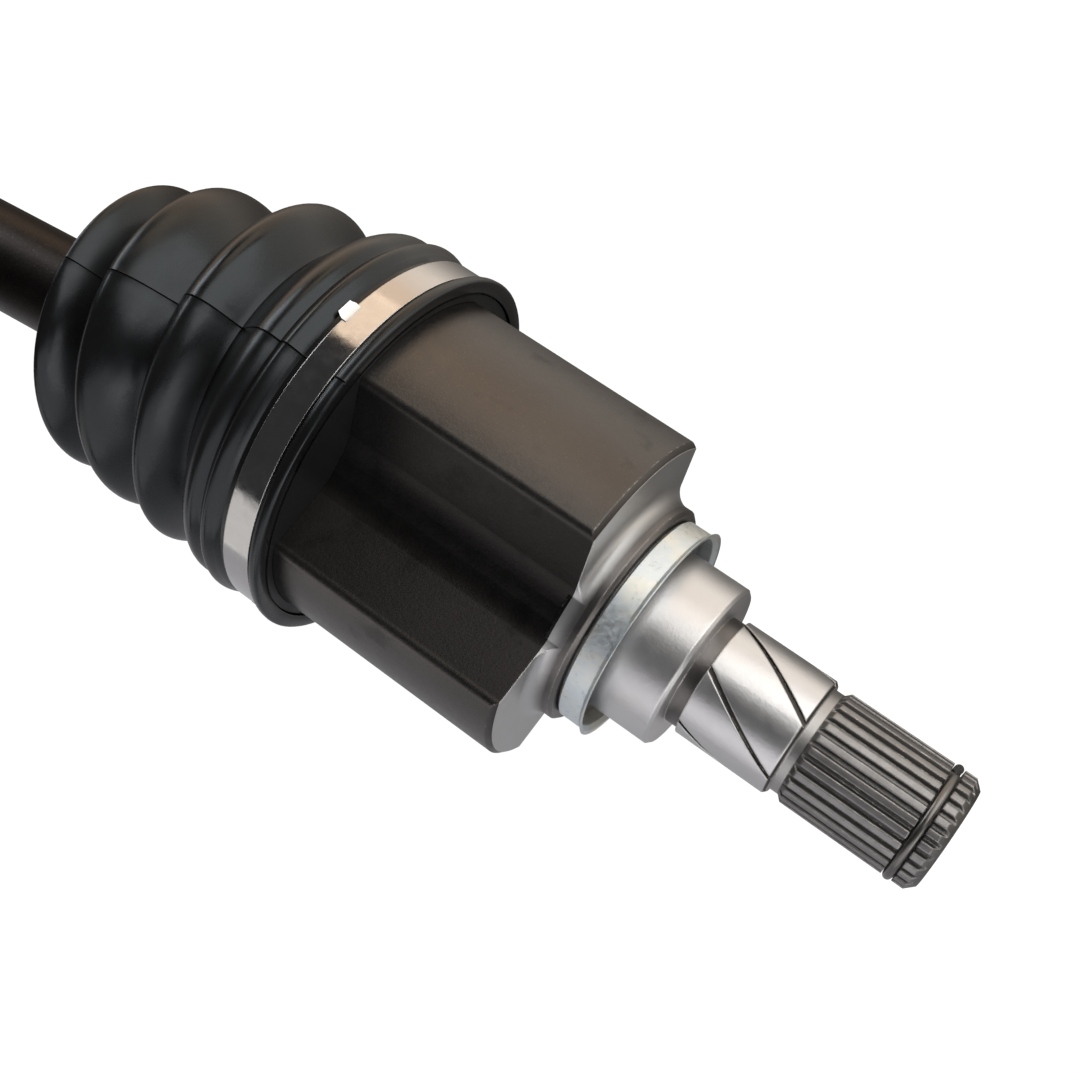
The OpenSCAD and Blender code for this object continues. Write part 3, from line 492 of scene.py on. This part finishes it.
def boot_piece(name, outside, inside_r, centre):
    """A closed rubber shell. Below the outside's point (x, r) its inside has the radius inside_r(x, r)."""
    inside = []
    for x, r in outside:
        if not inside or abs(inside[-1][0] - x) > SAME_PLACE:
            inside.append((x, inside_r(x, r)))
    points = boot_rings(outside, centre, True) + boot_rings(inside[::-1], centre, False)
    faces = tube_faces(len(outside) + len(inside), len(COLUMNS), True)
    obj = mesh_piece(name, points, faces, boot_mat, BOOT_SMOOTH_DEG)
    layer = obj.data.attributes.new("mould", "FLOAT", "POINT")
    line = [1.0 if height < 0 else 0.0 for _, height in COLUMNS]
    layer.data.foreach_set("value", line * (len(points) // len(COLUMNS)))
    return obj


# The inner boot, from the housing's mouth along a line that bends from the housing's axis to the bar's
SMALL_END_X = TRIPOD_X - INNER_REACH * math.cos(REST_BEND)
INNER_CUFF_X = TRIPOD_X - (INNER_REACH - SMALL_CUFF_LEN) * math.cos(REST_BEND)
INNER_FOLDS_LEN = MOUTH_X - INNER_CUFF_X
INNER_FOLDS = [(MOUTH_X - share * INNER_FOLDS_LEN, r) for share, r in (
    (0.017, 45.7), (0.06, 46.8), (0.10, 44.7), (0.141, 45.8), (0.285, 36.6), (0.414, 43.7),
    (0.529, 32.2), (0.692, 39.7), (0.804, 28.5), (0.917, 35.8), (1, 16.6))]
# The two pieces of the inner boot meet in its first deep valley, just past the valley's own point
SPLIT_X = INNER_FOLDS[4][0] - 0.01
# How far the folds lean about Z and about Y, in degrees, by their share of the boot's length
FOLD_LEAN = [(0, 0, 0), (0.12, 0.2, 1.2), (0.42, 3.6, 1.6), (0.67, 9.0, -1.1), (0.92, 7.3, -1.5), (1, 0, 0)]
FLANGE_X = MOUTH_X + 12
GROOVE_END_X = MOUTH_X - 0.2
ADAPTER_R = 43.3
# The flange and the groove of the large clamp, with x from the flange's face
LARGE_CUFF = [(-0.25, 43.6), (0, 44.0), (0, 46.2), (-0.12, 46.5), (-0.4, 46.72), (-0.8, 46.8), (-1.8, 46.7),
              (-2.6, 46.4), (-2.85, 46.1), (-3.0, 45.5), (-3.1, 44.9), (-3.3, LARGE_CUFF_R)]


def fold_lean(share):
    """The lean of the folds about Z and about Y, in radians."""
    share = min(1.0, max(0.0, share))
    for (t0, z0, y0), (t1, z1, y1) in zip(FOLD_LEAN, FOLD_LEAN[1:]):
        if share <= t1:
            t = (share - t0) / (t1 - t0)
            return math.radians(z0 + t * (z1 - z0)), math.radians(y0 + t * (y1 - y0))


def inner_centre(x):
    """Place of the ring at x on the inner boot's bent line."""
    share = (MOUTH_X - x) / INNER_FOLDS_LEN
    bent = smoothstep(share)
    lean_z, lean_y = fold_lean(share)
    return (Matrix.Translation((x, math.tan(REST_BEND) * bent * (x - TRIPOD_X), 0))
            @ Matrix.Rotation(REST_BEND * bent + lean_z, 4, "Z") @ Matrix.Rotation(lean_y, 4, "Y"))


def inner_inside(x, r):
    """Inside radius of the inner boot where the outside's point is (x, r)."""
    if x > GROOVE_END_X:
        return ADAPTER_R
    return BAR_R + BAR_GAP if x < INNER_CUFF_X + WALL else r - WALL


def make_inner_boot():
    """The inner boot's cuff and bellows, which share the ring where they meet."""
    outside = [(FLANGE_X + dx, r) for dx, r in LARGE_CUFF]
    outside += [(MOUTH_X + 1, LARGE_CUFF_R), (GROOVE_END_X, LARGE_CUFF_R)]
    outside += fold_profile(INNER_FOLDS) + small_cuff(INNER_CUFF_X, SMALL_END_X)
    before = [p for p in outside if p[0] > SPLIT_X]
    after = [p for p in outside if p[0] < SPLIT_X]
    (x0, r0), (x1, r1) = before[-1], after[0]
    meeting = (SPLIT_X, r0 + (x0 - SPLIT_X) / (x0 - x1) * (r1 - r0))
    return (boot_piece("inner_boot_cuff", before + [meeting], inner_inside, inner_centre),
            boot_piece("inner_boot_bellows", [meeting] + after, inner_inside, inner_centre))


cuff, bellows = make_inner_boot()
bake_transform(cuff)
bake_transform(bellows)
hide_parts("inner_boot")


# The outer boot, straight along the bar, with x from the ball joint's middle
OUTER_CUFF_X = OUTER_REACH - SMALL_CUFF_LEN
OUTER_FOLDS_LEN = OUTER_CUFF_X - BELL_MOUTH
OUTER_FOLDS = [(BELL_MOUTH + share * OUTER_FOLDS_LEN, r) for share, r in (
    (0.016, 45), (0.094, 45.6), (0.204, 36.5), (0.314, 42.6), (0.417, 33.5), (0.519, 39),
    (0.613, 29.5), (0.708, 34.4), (0.794, 24), (0.881, 28), (1, 16.6))]
BELL_CUFF_X = BELL_MOUTH - 10
BELL_SEAT_R = BELL_R + 0.3
BELL_CUFF_R = BELL_SEAT_R + 1.6
# The lip and the groove of the large clamp: x from the boot's start, and height over the groove
BELL_CUFF = [(0, 0.2), (0.4, 0.7), (1, 0.8), (1.4, 0.5), (1.6, 0), (9.2, 0), (9.4, 0.5)]


def outer_centre(x):
    """Place of the ring at x on the outer boot."""
    return ON_BALL @ Matrix.Translation((x, 0, 0))


def outer_inside(x, r):
    """Inside radius of the outer boot where the outside's point is (x, r)."""
    if x < BELL_MOUTH + 0.3:
        return BELL_SEAT_R
    return BAR_R + BAR_GAP if x > OUTER_CUFF_X - WALL else r - WALL


def make_outer_boot():
    outside = [(BELL_CUFF_X + dx, BELL_CUFF_R + height) for dx, height in BELL_CUFF]
    outside += fold_profile(OUTER_FOLDS) + small_cuff(OUTER_CUFF_X, OUTER_REACH)
    return boot_piece("outer_boot_bellows", outside, outer_inside, outer_centre)


outer_bellows = make_outer_boot()
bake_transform(outer_bellows)
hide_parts("outer_boot")


# ---- Small pieces

SMALL_SMOOTH_DEG = 35

EAR_DEGREES = (44.5, 50.5)
EAR_X, EAR_LEN = -109.6, 2.4
EAR_R, EAR_RISE = 45.95, 0.75
EAR_THICKNESS = 0.7
EAR_TAPER = 0.25       # share of its width that it loses towards its end
EAR_ROWS, EAR_COLUMNS = 7, 9


def make_clamp_ear():
    """The bent ear at the edge of the inner boot's large clamp, a thin plate that rises from the band. Its
    light colour is a painted glint.
    """
    outside, inside = [], []
    for i in range(EAR_ROWS):
        t = i / (EAR_ROWS - 1)
        x = EAR_X - EAR_LEN * t
        r = EAR_R + EAR_RISE * t * t
        width = 1 - EAR_TAPER * smoothstep((t - 0.5) / 0.5)
        for k in range(EAR_COLUMNS):
            u = 0.5 + (k / (EAR_COLUMNS - 1) - 0.5) * width
            angle = math.radians(EAR_DEGREES[0] + u * (EAR_DEGREES[1] - EAR_DEGREES[0]))
            outside.append(polar(x, r, angle))
            inside.append(polar(x, r - EAR_THICKNESS, angle))
    count = len(outside)
    faces = []
    for i in range(EAR_ROWS - 1):
        for k in range(EAR_COLUMNS - 1):
            a, b = i * EAR_COLUMNS + k, (i + 1) * EAR_COLUMNS + k
            faces += [(a, a + 1, b + 1, b), (count + a, count + b, count + b + 1, count + a + 1)]
    last_row, last_column = (EAR_ROWS - 1) * EAR_COLUMNS, EAR_COLUMNS - 1
    rim = ([i * EAR_COLUMNS for i in range(EAR_ROWS)] + [last_row + k for k in range(1, EAR_COLUMNS)]
           + [i * EAR_COLUMNS + last_column for i in range(EAR_ROWS - 2, -1, -1)]
           + [k for k in range(EAR_COLUMNS - 2, 0, -1)])
    faces += [(a, b, count + b, count + a) for a, b in zip(rim, rim[1:] + rim[:1])]
    mesh_piece("inner_large_clamp_tab", outside + inside, faces, ear_glint_mat, SMALL_SMOOTH_DEG, "housing")


THREAD_PITCH = 1.5
THREAD_X = (-109.2, -90.8)      # from the ball joint's middle
THREAD_STEPS = 48               # points in a turn
THREAD_RUNOUT = 30              # points over which the ridge rises at each end
THREAD_FOOT_R = 11.52           # just inside the CAD's plain cylinder
THREAD_R = 11.6                 # of that cylinder
THREAD_HEIGHT = 0.55
THREAD_REST = 0.02              # height left where the ridge has run out
THREAD_FOOT, THREAD_CREST = 0.66, 0.08  # half widths


def make_hub_thread():
    """The ridge of the hub nut's thread, run out at both ends."""
    total = int((THREAD_X[1] - THREAD_X[0]) / THREAD_PITCH * THREAD_STEPS)
    points = []
    for i in range(total + 1):
        angle = 2 * math.pi * i / THREAD_STEPS
        x = THREAD_X[0] + THREAD_PITCH * i / THREAD_STEPS
        full = smoothstep(i / THREAD_RUNOUT) * smoothstep((total - i) / THREAD_RUNOUT)
        crest_r = THREAD_R + THREAD_REST + THREAD_HEIGHT * full
        for dx, r in ((-THREAD_FOOT, THREAD_FOOT_R), (-THREAD_CREST, crest_r),
                      (THREAD_CREST, crest_r), (THREAD_FOOT, THREAD_FOOT_R)):
            points.append(ON_BALL @ polar(x + dx, r, angle))
    faces = tube_faces(total + 1, 4, False)
    faces += [(3, 2, 1, 0), (total * 4, total * 4 + 1, total * 4 + 2, total * 4 + 3)]
    mesh_piece("hub_thread_ridge", points, faces, bell_mat, SMALL_SMOOTH_DEG, "bell")


make_clamp_ear()
make_hub_thread()


# ---- Studio, in metres

FLOOR_Z = -0.0472
FLOOR_SIZE = 14
SHAFT_MIDDLE = Vector((-0.07, 0.0, 0.0))

# Area lamps that face the shaft: name, place, width, height, watts, colour
LAMPS = [
    ("key_white", (0.31, 0.83, 0.57), 1.18, 1.22, 10.0, (1.0, 0.985, 0.96)),
    ("key_warm", (-0.46, 0.96, 0.28), 0.40, 0.60, 1.25, (1.0, 0.78, 0.58)),
    ("left_soft", (-1.35, 0.52, 0.42), 0.8, 0.6, 6.0, (0.94, 0.97, 1.0)),
    ("fill_lilac", (0.29, -0.80, 0.60), 1.14, 1.18, 4.6, (0.985, 0.965, 1.0)),
    ("fill_left", (-0.46, -0.94, 0.34), 0.40, 0.70, 0.80, (1.0, 0.98, 0.96)),
    ("end_fill", (1.3, -0.45, 0.7), 0.9, 0.9, 5.0, (1.0, 0.98, 0.96))]

# The photograph's camera, as solved from circles of revolution in it
PHOTO_PX = 1080
FOCAL_PX = 1526.84
SENSOR_MM = 36.0
EYE = (0.03161, 0.09614, 0.31473)
EYE_RIGHT = (0.7948, 0.4785, -0.3733)
EYE_FORWARD = (-0.2702, -0.2718, -0.9237)


def floor_material():
    """White for the camera, with the shaft's faint shadow. Reflections see a painted glow that varies with
    place: bright and warm on the +Y side, warmest towards -X, dimmer and cool on the -Y side, and a painted
    shadow under the shaft.
    """
    n = Nodes("studio_floor")
    path = n.add("ShaderNodeLightPath").outputs
    x, y, _ = n.add("ShaderNodeSeparateXYZ", i0=n.coords).outputs
    # Painted light: reflections of the floor are warm on the +Y side, warmest towards -X, and cool on the -Y
    # side
    painted_warm_light = n.mix(n.ramp(x, -0.26, -0.10), (1.0, 0.77, 0.58), (1.0, 0.92, 0.83))
    tint = n.mix(n.ramp(y, -0.10, 0.10), (0.97, 0.96, 1.0), painted_warm_light)
    # Painted shadow: the glow is painted dark under and beside the shaft and brighter farther out, brightest
    # on the +Y side
    plus_side = n.ramp(y, 0.038, 0.13, 0.15, 1.30)
    minus_side_housing = n.ramp(y, -0.075, -0.030, 0.38, 0.0)
    minus_side_stub = n.ramp(y, -0.035, 0.010, 0.30, 0.0)
    minus_side = n.blend(n.ramp(x, -0.048, -0.030), minus_side_housing, minus_side_stub)
    painted_glow = n.add("ShaderNodeEmission", Color=tint, Strength=n.plus(plus_side, minus_side)).outputs[0]
    plain = n.add("ShaderNodeBsdfDiffuse", Color=(0.86, 0.86, 0.86)).outputs[0]
    white = n.add("ShaderNodeEmission", Color=(1, 1, 1), Strength=0.91).outputs[0]
    dim = n.add("ShaderNodeBsdfDiffuse", Color=(0.22, 0.22, 0.22)).outputs[0]
    lit = n.add("ShaderNodeAddShader", i0=white, i1=dim).outputs[0]
    seen = n.add("ShaderNodeMixShader", i0=path["Is Camera Ray"], i1=plain, i2=lit).outputs[0]
    mirrored = n.math("MAXIMUM", path["Is Glossy Ray"], path["Is Transmission Ray"])
    n.show(n.add("ShaderNodeMixShader", i0=mirrored, i1=seen, i2=painted_glow).outputs[0])
    return n.mat


def make_floor():
    bpy.ops.mesh.primitive_plane_add(size=FLOOR_SIZE, location=(0, 0, FLOOR_Z))
    floor = bpy.context.object
    floor.name = "studio_floor"
    floor.data.materials.append(floor_material())


def make_world():
    """White for the camera, soft light for the shaft and a dim room in reflections."""
    world = bpy.data.worlds.new("studio")
    bpy.context.scene.world = world
    world.use_nodes = True
    tree = world.node_tree
    tree.nodes.clear()
    out = tree.nodes.new("ShaderNodeOutputWorld")
    path = tree.nodes.new("ShaderNodeLightPath").outputs

    def light(colour, strength):
        node = tree.nodes.new("ShaderNodeBackground")
        node.inputs[0].default_value = (*colour, 1.0)
        node.inputs[1].default_value = strength
        return node.outputs[0]

    def mix(share, a, b):
        node = tree.nodes.new("ShaderNodeMixShader")
        for i, value in enumerate((share, a, b)):
            tree.links.new(value, node.inputs[i])
        return node.outputs[0]

    soft = mix(path["Is Glossy Ray"], light((0.96, 0.97, 1.0), 0.26), light((0.97, 0.96, 1.0), 0.05))
    tree.links.new(mix(path["Is Camera Ray"], soft, light((1, 1, 1), 1.0)), out.inputs[0])


def make_lamp(name, where, width, height, watts, colour):
    data = bpy.data.lights.new(name, "AREA")
    data.shape = "RECTANGLE"
    data.size = width
    data.size_y = height
    data.energy = watts
    data.color = colour
    lamp = bpy.data.objects.new(name, data)
    bpy.context.scene.collection.objects.link(lamp)
    lamp.location = where
    lamp.rotation_euler = (SHAFT_MIDDLE - Vector(where)).to_track_quat("-Z", "Y").to_euler()


def make_camera():
    data = bpy.data.cameras.new("camera")
    data.sensor_width = SENSOR_MM
    data.lens = SENSOR_MM * FOCAL_PX / PHOTO_PX
    data.clip_start = 0.01
    data.clip_end = 50
    camera = bpy.data.objects.new("camera", data)
    bpy.context.scene.collection.objects.link(camera)
    forward = Vector(EYE_FORWARD).normalized()
    up = Vector(EYE_RIGHT).normalized().cross(forward).normalized()
    turn = Matrix((forward.cross(up), up, -forward)).transposed().to_4x4()
    camera.matrix_world = Matrix.Translation(EYE) @ turn
    bpy.context.scene.camera = camera


make_floor()
make_world()
for lamp in LAMPS:
    make_lamp(*lamp)
make_camera()
bpy.context.scene.view_settings.view_transform = "Standard"
